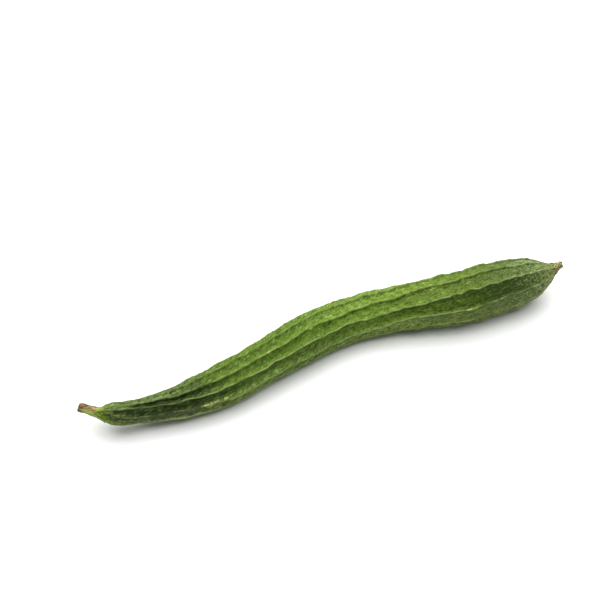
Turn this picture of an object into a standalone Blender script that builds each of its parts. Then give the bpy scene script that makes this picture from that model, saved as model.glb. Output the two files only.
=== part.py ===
"""A ridge gourd, also called angled luffa, as picked and laid on a table.

It is a ten-ridged fruit with a narrow neck and a full belly, the stem that it was cut by, and the
withered calyx of its flower. Metres, +Z up, the table at z = 0, and +X from the stem to the calyx.
"""

import math

import bpy
import numpy as np

MM = 0.001
SEED = 27
GAP = 0.3 * MM  # between pieces that grow together

# The fruit's driving dimensions
FRUIT_START = -190.7 * MM
FRUIT_LENGTH = 393.3 * MM
BELLY_RADIUS = 22.5 * MM
RIDGES = 10

# Points along the fruit, each a share of its length from the stem and a value there
GIRTH = (  # crest radius, as a share of the belly's
    (0, 0.31), (0.008, 0.375), (0.035, 0.43), (0.075, 0.455), (0.15, 0.605), (0.24, 0.755),
    (0.33, 0.755), (0.43, 0.835), (0.53, 0.825), (0.65, 0.865), (0.73, 0.95), (0.8, 1.0),
    (0.87, 0.965), (0.92, 0.855), (0.955, 0.67), (0.974, 0.435), (0.988, 0.29), (1, 0.2),
)
SWING = (  # how far the centreline lies to +Y, in millimetres
    (0, -8.2), (0.03, -11.5), (0.075, -13.8), (0.15, -15.9), (0.2, -14.8), (0.29, -9.7), (0.38, -0.4),
    (0.48, 9.3), (0.55, 11.8), (0.62, 9.6), (0.7, 3.6), (0.78, -2.2), (0.85, -3.2), (0.92, -5),
    (0.97, -5.2), (1, -2.8),
)
HEIGHT = (  # the centreline's height over the table, in millimetres
    (0, 18.7), (0.035, 16.9), (0.075, 15.8), (0.12, 15.2), (0.2, 15.8), (0.24, 16.2), (0.3, 18.3),
    (0.36, 18.9), (0.43, 18.5), (0.53, 17.2), (0.65, 18.6), (0.74, 21.1), (0.82, 21.8), (0.9, 22.3),
    (0.96, 24), (1, 24.2),
)
TWIST = (  # where the first crest stands, in degrees from the top towards -Y
    (0, -3), (0.05, 1), (0.1, 7), (0.2, 14.5), (0.35, 16), (0.5, 16), (0.62, 11), (0.7, 0),
    (0.78, -5.5), (0.88, -8), (1, -9),
)
HOLLOW = (  # how deep the skin sinks between crests, as a share of the crest radius
    (0, 0.03), (0.03, 0.09), (0.08, 0.165), (0.2, 0.165), (0.32, 0.155), (0.5, 0.155), (0.62, 0.14),
    (0.72, 0.11), (0.85, 0.095), (0.93, 0.075), (0.975, 0.05), (1, 0.03),
)
SHARPNESS = (  # over 1: how flat the panels are, and how thin the crests between them
    (0, 3), (0.08, 4), (0.2, 3), (0.35, 2.5), (0.55, 2.6), (0.7, 4), (0.85, 5), (1, 4),
)

# The ridges
CREST_SHIFTS = (0, -5, -7, -4, -6, -1, -4, 1, -1, 2)  # degrees off an even spacing
CREST_STRAYS = {  # degrees that a crest leaves that line as it runs, by its number
    1: ((0, -13), (0.05, -12), (0.1, -9), (0.2, -3), (0.35, 1), (0.55, 0.5), (0.7, 5), (0.8, 3),
        (0.88, 1), (1, 2)),
    2: ((0, -4), (0.05, 0), (0.1, -7), (0.25, 3), (0.45, 4), (0.66, 1), (0.77, 8), (0.88, 5),
        (1, 4)),
}
CREST_ROUND = 0.07  # share of a half panel that rounds the crest
CREST_WANDER = 1.3  # degrees of unevenness that every crest has on top
WANDER_LENGTH = 55 * MM
CREST_NOTCH = 0.3 * MM  # how unevenly high a crest is
NOTCH_LENGTH = 21 * MM
PANEL_BUMP = 0.22 * MM
BUMP_LENGTH = 15 * MM
WAVES = 14  # sine waves in each uneven field

# The fruit's mesh
RINGS = 88
CREST_TO_CREST = (0, 0.09, 0.28, 0.5, 0.72, 0.91)  # where columns stand between two crests
COLUMNS = RIDGES * len(CREST_TO_CREST)
RING_CROWDING = 0.5  # draws the rings together at the two ends

# The stem
STEM_TIP = (-209.1 * MM, 3.8 * MM, 20.4 * MM)
STEM_TIP_HEADING = (-0.9, 0.42, 0.1)
STEM_PULL = 7 * MM  # how far each end's heading carries into the curve
STEM_GIRTH = (  # in millimetres
    (0, 6.7), (0.1, 5.4), (0.24, 4.3), (0.38, 3.8), (0.53, 3.6), (0.75, 3.45), (0.95, 3.3), (1, 3.1),
)
STEM_FLUTES = 5
FLUTE_DEPTH = 0.09
STEM_RINGS = 16
STEM_COLUMNS = 20

# The calyx
CUP_LENGTH = 3.8 * MM
CUP_GIRTH = ((0, 4.1), (0.3, 3.8), (0.7, 3.5), (1, 2.7))  # mm
CUP_RIBS = 10
CUP_RIB_DEPTH = 0.05
CUP_RINGS = 8
CUP_COLUMNS = 20
LOBE_ROOT = 2.3 * MM  # how far out from the calyx's axis a lobe springs
LOBE_SINK = 1.6 * MM  # how deep in the cup it does
LOBE_WIDTH = 3.2 * MM
LOBE_THICKNESS = 0.9 * MM
LOBE_RINGS = 7
LOBE_COLUMNS = 8
LOBES = (  # each one's length in millimetres, then the degrees that it leans out and curls on
    (4.6, 8, -18), (3.8, 2, 22), (5.2, 10, -6), (4.2, 4, 14), (3.4, 12, -10),
)
STYLE_LENGTH = 4.8 * MM
STYLE_RADIUS = 1.0 * MM


def through(points, at):
    """The smooth curve through (place, value) points: a cubic in each gap, with its slopes eased."""
    place, value = np.array(points, float).T
    slope = np.gradient(value, place)
    gap_number = np.clip(np.searchsorted(place, at) - 1, 0, len(place) - 2)
    width = place[gap_number + 1] - place[gap_number]
    t = (at - place[gap_number]) / width
    start = value[gap_number] * (1 + 2 * t) + width * slope[gap_number] * t
    end = value[gap_number + 1] * (3 - 2 * t) + width * slope[gap_number + 1] * (t - 1)
    return start * (1 - t) ** 2 + end * t**2


def uneven(rng, along, length):
    """An uneven line along the fruit, about 1 high: sine waves near one length, added up."""
    number = 2 * math.pi / (length * rng.uniform(0.6, 1.6, WAVES))
    lag = rng.uniform(0, 2 * math.pi, WAVES)
    return np.sin(np.multiply.outer(along, number) + lag).sum(-1) * math.sqrt(2 / WAVES)


def bumpy(rng, along, around, length):
    """An uneven field on the fruit with no seam: each wave fits whole times round the belly."""
    number = 2 * math.pi / (length * rng.uniform(0.6, 1.6, WAVES))
    heading = rng.uniform(0, 2 * math.pi, WAVES)
    lag = rng.uniform(0, 2 * math.pi, WAVES)
    turns = np.rint(number * np.sin(heading) * BELLY_RADIUS)
    phase = np.multiply.outer(along, number * np.cos(heading)) + np.multiply.outer(around, turns)
    return np.sin(phase + lag).sum(-1) * math.sqrt(2 / WAVES)


def centreline(share):
    """Points of the fruit's centreline."""
    x = FRUIT_START + FRUIT_LENGTH * share
    return np.stack([x, through(SWING, share) * MM, through(HEIGHT, share) * MM], -1)


def unit(vectors):
    return vectors / np.linalg.norm(vectors, axis=-1, keepdims=True)


def section_axes(heading):
    """The heading with its upward and its -Y side normals, each one unit long."""
    ahead = unit(heading)
    beside = unit(np.cross(ahead, (0.0, 0.0, 1.0)))
    return ahead, np.cross(beside, ahead), beside


def fruit_axes(share):
    """The centreline's heading, up and side where the share says."""
    step = 0.002
    before, after = np.clip(share - step, 0, 1), np.clip(share + step, 0, 1)
    return section_axes(centreline(after) - centreline(before))


def sink(fraction, sharpness):
    """0 at a crest and 1 midway to the next: a hollow whose walls steepen up to a sharp lip."""
    off_crest = 1 - np.abs(2 * fraction - 1)
    eased = np.hypot(off_crest, CREST_ROUND) - CREST_ROUND
    return 1 - (1 - eased / (math.hypot(1, CREST_ROUND) - CREST_ROUND)) ** sharpness


def crest_lines(share):
    """Each crest's angle and its uneven height, for a row of shares: crests run down the rows."""
    rng = np.random.default_rng(SEED)
    along = share * FRUIT_LENGTH
    angles = [
        through(TWIST, share) + 360 / RIDGES * ridge + CREST_SHIFTS[ridge]
        + through(CREST_STRAYS.get(ridge, ((0, 0), (1, 0))), share)
        + CREST_WANDER * uneven(rng, along, WANDER_LENGTH)
        for ridge in range(RIDGES)
    ]
    notches = [CREST_NOTCH * uneven(rng, along, NOTCH_LENGTH) for _ in range(RIDGES)]
    return np.radians(angles), np.array(notches), rng


def fruit_grid():
    """The fruit's skin as rings of points, from the stem's end to the calyx's."""
    evenly = np.linspace(0, 1, RINGS - 1)
    share = evenly - RING_CROWDING * np.sin(2 * math.pi * evenly) / (2 * math.pi)
    crest, notch, rng = crest_lines(share)
    crest = np.vstack([crest, crest[:1] + 2 * math.pi])
    notch = np.vstack([notch, notch[:1]])
    fraction = np.tile(CREST_TO_CREST, RIDGES)
    ridge = np.repeat(np.arange(RIDGES), len(CREST_TO_CREST))
    angle = (crest[ridge] * (1 - fraction[:, None]) + crest[ridge + 1] * fraction[:, None]).T
    lip = (notch[ridge] * (1 - fraction[:, None]) + notch[ridge + 1] * fraction[:, None]).T
    crest_radius = through(GIRTH, share)[:, None] * BELLY_RADIUS
    hollow = sink(fraction, through(SHARPNESS, share)[:, None])
    bump = bumpy(rng, share[:, None] * FRUIT_LENGTH, angle, BUMP_LENGTH) * PANEL_BUMP
    radius = crest_radius * (1 - through(HOLLOW, share)[:, None] * hollow)
    radius += (bump * hollow + lip * (1 - hollow)) * crest_radius / BELLY_RADIUS
    _, up, beside = fruit_axes(share)
    out = up[:, None] * np.cos(angle)[..., None] + beside[:, None] * np.sin(angle)[..., None]
    skin = centreline(share)[:, None] + out * radius[..., None]
    skin[..., 2] = np.maximum(skin[..., 2], 0)  # its weight has pressed the lowest crests flat
    return skin


def tube_grid(centres, headings, radii, angles):
    """Rings of points round a line of centres: radii gives each ring's row of radii."""
    _, up, beside = section_axes(headings)
    out = up[:, None] * np.cos(angles)[..., None] + beside[:, None] * np.sin(angles)[..., None]
    return centres[:, None] + out * radii[..., None]


def moulded(name, grid):
    """A UV sphere moulded to a grid: its rings take the grid's rows, and its poles their ends.

    The sphere's top pole goes to the grid's last ring, which keeps the faces pointing out.
    """
    rings, columns = grid.shape[0] + 1, grid.shape[1]
    bpy.ops.mesh.primitive_uv_sphere_add(segments=columns, ring_count=rings, radius=1)
    piece = bpy.context.object
    piece.name = piece.data.name = name
    ball = np.empty(len(piece.data.vertices) * 3, np.float32)
    piece.data.vertices.foreach_get("co", ball)
    x, y, z = ball.reshape(-1, 3).T
    ring = np.rint(np.arccos(np.clip(z, -1, 1)) / math.pi * rings).astype(int)
    column = np.rint(np.arctan2(y, x) / (2 * math.pi) * columns).astype(int) % columns
    rows = np.vstack([
        np.broadcast_to(grid[-1].mean(0), (1, columns, 3)),
        grid[::-1],
        np.broadcast_to(grid[0].mean(0), (1, columns, 3)),
    ])
    piece.data.vertices.foreach_set("co", rows[ring, column].astype(np.float32).ravel())
    piece.data.update()
    piece.data.shade_smooth()
    return piece


def move_to(collection, piece):
    for other in piece.users_collection:
        other.objects.unlink(piece)
    collection.objects.link(piece)


def finished(piece, colour, roughness, collection):
    """Gives a piece its material and puts it in the gourd's collection."""
    material = bpy.data.materials.new(piece.name)
    material.use_nodes = True
    shader = material.node_tree.nodes["Principled BSDF"]
    shader.inputs["Base Color"].default_value = (*colour, 1)
    shader.inputs["Roughness"].default_value = roughness
    piece.data.materials.clear()
    piece.data.materials.append(material)
    move_to(collection, piece)


def make_fruit():
    fruit = moulded("fruit", fruit_grid())
    fruit.data.set_sharp_from_angle(angle=math.radians(50))
    return fruit


def make_stem():
    """The cut stem: a five-fluted stalk that curves out of the fruit's narrow end and flares there."""
    start = centreline(np.array([0.0]))[0]
    ahead = fruit_axes(np.array([0.0]))[0][0]
    root = start - ahead * GAP
    tip = np.array(STEM_TIP)
    pulls = (root, root - ahead * STEM_PULL, tip - unit(np.array(STEM_TIP_HEADING)) * STEM_PULL, tip)
    t = np.linspace(0, 1, STEM_RINGS - 1)
    weights = ((1 - t) ** 3, 3 * t * (1 - t) ** 2, 3 * t**2 * (1 - t), t**3)
    centres = sum(np.multiply.outer(weight, pull) for weight, pull in zip(weights, pulls))
    headings = np.gradient(centres, axis=0)
    headings[0] = -ahead
    angles = np.tile(np.arange(STEM_COLUMNS) / STEM_COLUMNS * 2 * math.pi, (STEM_RINGS - 1, 1))
    fluted = through(STEM_GIRTH, t)[:, None] * MM * (1 + FLUTE_DEPTH * np.cos(STEM_FLUTES * angles))
    return moulded("stem", tube_grid(centres, headings, fluted, angles))


def lobe_grid(length, lean, curl, width, thickness):
    """A blade that starts along +Z, leans to +X and curls on, and whose width tapers to its end."""
    t = np.linspace(0, 1, LOBE_RINGS)
    bend = np.radians(lean + curl * t)
    step = length / (LOBE_RINGS - 1)
    x = np.concatenate([[0], np.cumsum(np.sin(bend[:-1]) * step)])
    z = np.concatenate([[0], np.cumsum(np.cos(bend[:-1]) * step)])
    angles = np.arange(LOBE_COLUMNS) / LOBE_COLUMNS * 2 * math.pi
    face = np.stack([np.cos(bend), 0 * bend, -np.sin(bend)], -1)
    taper = np.sqrt(1.12 - t**2.2)[:, None]
    deep = (1 - 0.35 * t)[:, None] * np.cos(angles) * thickness / 2
    wide = taper * np.sin(angles) * width / 2
    return np.stack([x, 0 * x, z], -1)[:, None] + face[:, None] * deep[..., None] + (
        np.array([0.0, 1.0, 0.0]) * wide[..., None])


def make_calyx():
    """The withered calyx: a short ribbed cup, five shrunken lobes and the stub of the style."""
    end = centreline(np.array([1.0]))[0]
    ahead, up, beside = (axis[0] for axis in fruit_axes(np.array([1.0])))
    root = end + ahead * GAP
    t = np.linspace(0, 1, CUP_RINGS - 1)
    angles = np.tile(np.arange(CUP_COLUMNS) / CUP_COLUMNS * 2 * math.pi, (CUP_RINGS - 1, 1))
    ribbed = through(CUP_GIRTH, t)[:, None] * MM * (1 + CUP_RIB_DEPTH * np.cos(CUP_RIBS * angles))
    centres = root + np.multiply.outer(t * CUP_LENGTH, ahead)
    cup = moulded("calyx", tube_grid(centres, np.tile(ahead, (CUP_RINGS - 1, 1)), ribbed, angles))
    blades = [
        (2 * math.pi * number / len(LOBES), LOBE_ROOT,
         lobe_grid(length * MM, lean, curl, LOBE_WIDTH, LOBE_THICKNESS))
        for number, (length, lean, curl) in enumerate(LOBES)
    ]
    blades.append((0, 0, lobe_grid(STYLE_LENGTH, 5, -10, 2 * STYLE_RADIUS, 2 * STYLE_RADIUS)))
    lobes = bpy.data.collections.new("calyx_lobes")
    bpy.context.scene.collection.children.link(lobes)
    for turn, out_by, grid in blades:
        out = up * math.cos(turn) + beside * math.sin(turn)
        sunk = root + ahead * (CUP_LENGTH - LOBE_SINK) + out * out_by
        move_to(lobes, moulded("lobe", sunk + grid @ np.stack([out, np.cross(ahead, out), ahead])))
    return fused(cup, lobes)


def fused(piece, others):
    """Joins the pieces of a collection to one piece by a Boolean union, and clears them away."""
    union = piece.modifiers.new("union", "BOOLEAN")
    union.operation = "UNION"
    union.operand_type = "COLLECTION"
    union.collection = others
    union.solver = "EXACT"
    graph = bpy.context.evaluated_depsgraph_get()
    mesh = bpy.data.meshes.new_from_object(piece.evaluated_get(graph))
    piece.modifiers.clear()
    piece.data = mesh
    mesh.name = piece.name
    for other in list(others.objects):
        bpy.data.objects.remove(other)
    bpy.data.collections.remove(others)
    return piece


for old in list(bpy.data.objects):
    bpy.data.objects.remove(old)

gourd = bpy.data.collections.new("ridge_gourd")
bpy.context.scene.collection.children.link(gourd)
finished(make_fruit(), (0.10, 0.19, 0.035), 0.5, gourd)
finished(make_stem(), (0.30, 0.33, 0.09), 0.6, gourd)
finished(make_calyx(), (0.34, 0.28, 0.13), 0.85, gourd)
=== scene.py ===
import math

import bpy
import numpy as np
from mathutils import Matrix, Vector


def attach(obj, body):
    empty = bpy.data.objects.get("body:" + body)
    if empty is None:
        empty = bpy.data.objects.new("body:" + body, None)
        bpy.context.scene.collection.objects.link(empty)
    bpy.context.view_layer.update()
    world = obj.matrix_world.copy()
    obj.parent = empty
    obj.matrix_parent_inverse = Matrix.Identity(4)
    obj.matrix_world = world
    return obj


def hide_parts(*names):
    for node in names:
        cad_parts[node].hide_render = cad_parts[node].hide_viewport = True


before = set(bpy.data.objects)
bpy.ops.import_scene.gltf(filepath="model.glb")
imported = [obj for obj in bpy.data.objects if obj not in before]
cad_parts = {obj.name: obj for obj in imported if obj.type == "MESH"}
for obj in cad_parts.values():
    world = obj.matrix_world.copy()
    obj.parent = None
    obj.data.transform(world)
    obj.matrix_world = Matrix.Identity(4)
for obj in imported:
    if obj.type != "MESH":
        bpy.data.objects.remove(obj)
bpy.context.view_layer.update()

# The rind
# The gourd's living skin: tough green tissue under a thin matt wax, grown as one piece with ten
# sharp lengthwise crests. Between the crests it sinks into long panels, dimpled across by the
# growth of the flesh under it and finely wrinkled where it has begun to lose water.

MM = 0.001
FRUIT_START = -190.7 * MM
FRUIT_LENGTH = 393.3 * MM
BELLY_RADIUS = 22.5 * MM
RIDGES = 10
SEED = 27

# Points along the fruit, as its solid has them: a share of its length and a value there
GIRTH = (  # crest radius, as a share of the belly's
    (0, 0.31), (0.008, 0.375), (0.035, 0.43), (0.075, 0.455), (0.15, 0.605), (0.24, 0.755),
    (0.33, 0.755), (0.43, 0.835), (0.53, 0.825), (0.65, 0.865), (0.73, 0.95), (0.8, 1.0),
    (0.87, 0.965), (0.92, 0.855), (0.955, 0.67), (0.974, 0.435), (0.988, 0.29), (1, 0.2),
)
SWING = (  # how far the centreline lies to +Y, in millimetres
    (0, -8.2), (0.03, -11.5), (0.075, -13.8), (0.15, -15.9), (0.2, -14.8), (0.29, -9.7),
    (0.38, -0.4), (0.48, 9.3), (0.55, 11.8), (0.62, 9.6), (0.7, 3.6), (0.78, -2.2), (0.85, -3.2),
    (0.92, -5), (0.97, -5.2), (1, -2.8),
)
HEIGHT = (  # the centreline's height over the table, in millimetres
    (0, 18.7), (0.035, 16.9), (0.075, 15.8), (0.12, 15.2), (0.2, 15.8), (0.24, 16.2), (0.3, 18.3),
    (0.36, 18.9), (0.43, 18.5), (0.53, 17.2), (0.65, 18.6), (0.74, 21.1), (0.82, 21.8), (0.9, 22.3),
    (0.96, 24), (1, 24.2),
)
TWIST = (  # where the first crest stands, in degrees from the top towards -Y
    (0, -3), (0.05, 1), (0.1, 7), (0.2, 14.5), (0.35, 16), (0.5, 16), (0.62, 11), (0.7, 0),
    (0.78, -5.5), (0.88, -8), (1, -9),
)
HOLLOW = (  # how deep the skin sinks between crests, as a share of the crest radius
    (0, 0.03), (0.03, 0.09), (0.08, 0.165), (0.2, 0.165), (0.32, 0.155), (0.5, 0.155), (0.62, 0.14),
    (0.72, 0.11), (0.85, 0.095), (0.93, 0.075), (0.975, 0.05), (1, 0.03),
)
SHARPNESS = (  # the hollow's power: the higher, the flatter the panels and thinner the crests
    (0, 3), (0.08, 4), (0.2, 3), (0.35, 2.5), (0.55, 2.6), (0.7, 4), (0.85, 5), (1, 4),
)
CREST_SHIFTS = (0, -5, -7, -4, -6, -1, -4, 1, -1, 2)  # degrees off an even spacing
CREST_STRAYS = {  # degrees that a crest leaves that line as it runs, by its number
    1: ((0, -13), (0.05, -12), (0.1, -9), (0.2, -3), (0.35, 1), (0.55, 0.5), (0.7, 5), (0.8, 3),
        (0.88, 1), (1, 2)),
    2: ((0, -4), (0.05, 0), (0.1, -7), (0.25, 3), (0.45, 4), (0.66, 1), (0.77, 8), (0.88, 5),
        (1, 4)),
}
CREST_ROUND = 0.07  # share of a half panel that rounds the crest
CREST_WANDER = 1.3  # degrees of unevenness that every crest has on top
WANDER_LENGTH = 55 * MM
CREST_NOTCH = 0.3 * MM  # how unevenly high a crest is
NOTCH_LENGTH = 21 * MM
PANEL_BUMP = 0.22 * MM
BUMP_LENGTH = 15 * MM
WAVES = 14  # sine waves in each uneven field

# What the rind has on top of its solid's form
RELIEF_SEED = 5
WAVER = 0.7  # degrees that a crest wavers
WAVER_LENGTH = 17 * MM
DIMPLE_DEPTH = 0.12 * MM
DIMPLE_LENGTH = 7 * MM
WRINKLE_DEPTH = 0.07 * MM
WRINKLE_LENGTH = 3 * MM
SLANTWISE = (0.75, 1.35)  # radians off the gourd's length, for waves whose lines climb along it
NICK_DEPTH = 0.12 * MM  # small notches along a crest
NICK_LENGTH = 5 * MM
CROSSWISE = (-0.8, 0.8)  # radians off the gourd's length that a crosswise wave may run
BEAD_HEIGHT = 0.25 * MM  # the thin raised line that runs along a crest
BEAD_REACH = 0.6 * MM
UNDERCUT = 0.3 * MM  # the narrow groove just under a crest
UNDERCUT_OFF = 1.5 * MM
# These panels lie under the crest that follows them, the others under the one before
FAR_PANELS = (4, 5, 6, 7, 8)
CLIMB = (  # radians that the fine streaks have turned round the gourd by there
    (0, 0), (0.25, 2.2), (0.5, 4.4), (0.65, 5.3), (0.8, 5.7), (1, 6.1),
)
FOOT_ROUND = 0.12 * MM  # how softly the pressed crests meet the table
DIMPLED = (  # how strong the dimples are
    (0, 0.2), (0.06, 0.3), (0.18, 0.8), (0.4, 1.2), (0.66, 1), (0.8, 0.5), (1, 0.5),
)

# How pale the skin is, painted shade and highlight included: 0 is deep green, 1 is fresh green
PLAIN_TONE = 0.6
# Those on the near side, 14 to 84 degrees from the top, are partly the skin's own darker green and
# partly painted shade on slopes turned away from the light; those round the back are the skin's own
# darker patches.
DARK_AND_SHADED_PATCHES = (  # share along, degrees from the top, half length, half width, how much darker
    (0.1, 30, 0.11, 34, 0.55), (0.02, 45, 0.05, 26, 0.2), (0.82, 48, 0.13, 19, 0.34),
    (0.1, 84, 0.1, 28, 0.32), (0.8, 14, 0.15, 18, 0.13), (0.87, 45, 0.06, 17, 0.16),
    (0.9, 82, 0.1, 22, 0.15), (0.18, 58, 0.1, 16, 0.22), (0.45, 50, 0.22, 26, 0.16),
    (0.12, 215, 0.12, 40, 0.5), (0.3, 290, 0.2, 22, 0.2), (0.7, 235, 0.16, 26, 0.35),
    (0.5, 150, 0.2, 22, 0.25),
)
# Painted light in stripes along the panels: painted highlight on the lip above a crest and painted
# shade on the slope under it.
LIGHT_AND_SHADE_BANDS = (  # the same with 36 degrees to each panel, from the first crest on: under 0 is paler
    (0.055, -43, 0.02, 8, 0.2), (0.009, -18, 0.006, 14, -0.24), (0.035, -18, 0.015, 13, 0.08),
    (0.037, -18, 0.012, 14, 0.12), (0.1, -18, 0.1, 14, -0.08), (0.105, -17, 0.05, 12, -0.22),
    (0.145, -7, 0.03, 4, -0.2), (0.27, -23, 0.14, 7, 0.16), (0.36, -18, 0.08, 12, 0.05),
    (0.45, -4.5, 0.38, 5.5, -0.19), (0.6, -18, 0.09, 14, -0.12), (0.65, -18, 0.05, 12, 0.06),
    (0.74, -18, 0.07, 12, -0.1), (0.78, -2, 0.12, 4, -0.1), (0.93, -14, 0.04, 14, -0.14),
    (0.95, -36, 0.05, 12, 0.22), (0.965, -18, 0.016, 14, 0.28), (0.005, 18, 0.009, 16, 0.42),
    (0.02, 14, 0.035, 16, -0.56), (0.037, 14, 0.01, 14, -0.35), (0.053, 16, 0.008, 14, 0.1),
    (0.08, 16, 0.015, 12, 0.08), (0.15, 18, 0.05, 13, -0.09), (0.2, 12.5, 0.05, 6, 0.26),
    (0.5, 31, 0.42, 6, -0.12), (0.55, 18, 0.05, 12, -0.12), (0.6, 8, 0.36, 5, 0.1),
    (0.75, 18, 0.05, 12, -0.08), (0.85, 16, 0.05, 13, 0.06), (0.915, 16, 0.015, 14, 0.07),
    (0, 50, 0.018, 16, -0.35), (0.03, 64, 0.02, 6, -0.2), (0.035, 54, 0.02, 13, -0.09),
    (0.065, 38, 0.02, 5, -0.25), (0.11, 54, 0.08, 13, -0.14), (0.13, 38, 0.13, 6, -0.2),
    (0.14, 63, 0.1, 12, 0.17), (0.15, 54, 0.05, 10, -0.14), (0.29, 66, 0.1, 12, -0.16),
    (0.3, 50, 0.1, 12, 0.17), (0.45, 64, 0.1, 14, 0.12), (0.65, 50, 0.05, 13, 0.18),
    (0.82, 45, 0.15, 5, 0.15), (0.83, 68, 0.15, 9, 0.13), (0.965, 54, 0.018, 14, 0.2),
    (0.1, 80, 0.05, 6, -0.12), (0.14, 88, 0.06, 14, 0.22), (0.16, 98, 0.09, 12, 0.27),
    (0.2, 72, 0.03, 6, 0.2), (0.45, 90, 0.06, 13, 0.16), (0.49, 84, 0.08, 12, 0.12),
    (0.75, 90, 0.05, 14, 0.12), (0.86, 104, 0.09, 12, 0.12), (0.9, 81, 0.04, 7, -0.17),
    (0.915, 90, 0.015, 14, 0.1), (0.15, 108, 0.07, 4, -0.95), (0.5, 172, 0.44, 9, 0.15),
    (0.5, 208, 0.42, 8, 0.2), (0.5, 221, 0.4, 6, -0.14), (0.52, 244, 0.42, 7, 0.2),
    (0.5, 257, 0.42, 6, -0.16), (0.5, 280, 0.44, 7, 0.18), (0.5, 293, 0.44, 6, -0.16),
    (0.5, 316, 0.45, 6, 0.16),
)
# Painted shade: a dark line just under each crest, deeper under a crest's high spots, where its
# shadow falls.
CREASE_OFF = 1.3 * MM  # the darkest line, just under a crest
CREASE_REACH = 0.65 * MM
CREASE_DARKER = 0.27
CREASE_SHARE = 0.7  # how much of it shows along an even crest
CREASE_BY_NICK = 0.4  # how much more shows under a high spot, and how much less under a nick
CREASE_LEAST = 0.2
UNDER_FROM = 62  # degrees from the top where the skin begins to face down
UNDER_OVER = 26
COARSE_UNDER = 0.6  # how coarse the skin is where it faces down
COARSE_NEAR_SIDE = 0.2  # how much more so on the -Y side
COARSE_TIP = 1.15  # and how coarse it is at the blossom end
TIP_FROM = 0.82
TIP_OVER = 0.15
SHOULDERS = (  # share along, degrees, half length, half width, how far it fades to the stalk's lime
    (0, -35, 0.008, 52, 0.7), (0, 40, 0.01, 36, 0.2), (0, 100, 0.018, 34, 0.8),
    (0, 225, 0.014, 80, 1),
)
LAP = (  # how its end closes over the stalk: millimetres on, and the share of its radius there
    (2.7, 0.68), (2.2, 0.78), (1.6, 0.86), (1, 0.925), (0.5, 0.97),
)
SCARS = (  # share along, degrees from the top, half length, half width
    (0.188, 74, 0.006, 2.5), (0.206, 75, 0.008, 3), (0.2, 93, 0.01, 3.5), (0.218, 88, 0.006, 4),
    (0.23, 77, 0.004, 2), (0.2, -24, 0.012, 2), (0.342, 15.5, 0.005, 2), (0.44, 17, 0.004, 1.6),
    (0.71, -24, 0.005, 2), (0.717, 5, 0.005, 2.5), (0.785, 69, 0.01, 2), (0.83, 67, 0.008, 2),
    (0.3, 168, 0.01, 4), (0.62, 228, 0.014, 3), (0.47, 300, 0.01, 2.5), (0.87, 312, 0.01, 3),
)

RINGS = 526
COLUMNS_TO_CREST = 18  # from one crest to the next
END_CROWDING = 0.35  # draws the rings together at the two ends
CREST_CROWDING = 0.62  # draws the columns together at the crests


def through(points, at):
    """The smooth curve through (place, value) points: a cubic in each gap.

    Its slope at a point is the slope of the line between that point's two neighbours.
    """
    place, value = np.array(points, float).T
    slope = np.gradient(value, place)
    gap_number = np.clip(np.searchsorted(place, at) - 1, 0, len(place) - 2)
    width = place[gap_number + 1] - place[gap_number]
    t = (at - place[gap_number]) / width
    start = value[gap_number] * (1 + 2 * t) + width * slope[gap_number] * t
    end = value[gap_number + 1] * (3 - 2 * t) + width * slope[gap_number + 1] * (t - 1)
    return start * (1 - t) ** 2 + end * t**2


def uneven(rng, along, length):
    """An uneven line along the fruit, about 1 high: sine waves near one length, added up."""
    number = 2 * math.pi / (length * rng.uniform(0.6, 1.6, WAVES))
    lag = rng.uniform(0, 2 * math.pi, WAVES)
    return np.sin(np.multiply.outer(along, number) + lag).sum(-1) * math.sqrt(2 / WAVES)


def bumpy(rng, along, around, length, headings=(0, 2 * math.pi)):
    """An uneven field on the fruit with no seam: each wave fits whole times round the belly.

    A wave's phase is its number times the way along, plus its whole turns times the angle around.
    """
    number = 2 * math.pi / (length * rng.uniform(0.6, 1.6, WAVES))
    heading = rng.uniform(*headings, WAVES)
    lag = rng.uniform(0, 2 * math.pi, WAVES)
    turns = np.rint(number * np.sin(heading) * BELLY_RADIUS)
    total = 0
    for one in range(WAVES):
        run = along * (number * np.cos(heading))[one]
        total = total + np.sin(run + around * turns[one] + lag[one])
    return total * math.sqrt(2 / WAVES)


def unit(vectors):
    """Each vector divided by its own length."""
    return vectors / np.linalg.norm(vectors, axis=-1, keepdims=True)


def section_axes(heading):
    """The heading with its upward and its -Y side normals, each one unit long."""
    ahead = unit(heading)
    beside = unit(np.cross(ahead, (0.0, 0.0, 1.0)))
    return ahead, np.cross(beside, ahead), beside


def centreline(share):
    """Points of the fruit's centreline: even steps along X, each with its swing and its height."""
    x = FRUIT_START + FRUIT_LENGTH * share
    return np.stack([x, through(SWING, share) * MM, through(HEIGHT, share) * MM], -1)


def fruit_axes(share):
    """The centreline's heading, up and side: the heading is a short step from before to after."""
    step = 0.002
    before, after = np.clip(share - step, 0, 1), np.clip(share + step, 0, 1)
    return section_axes(centreline(after) - centreline(before))


def sink(fraction, sharpness):
    """0 at a crest and 1 midway to the next: a hollow whose walls steepen up to a sharp lip.

    It is one less a power of the way left to the middle, which begins rounded off at the crest.
    """
    off_crest = 1 - np.abs(2 * fraction - 1)
    rounded = np.hypot(off_crest, CREST_ROUND) - CREST_ROUND
    return 1 - (1 - rounded / (math.hypot(1, CREST_ROUND) - CREST_ROUND)) ** sharpness


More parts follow.
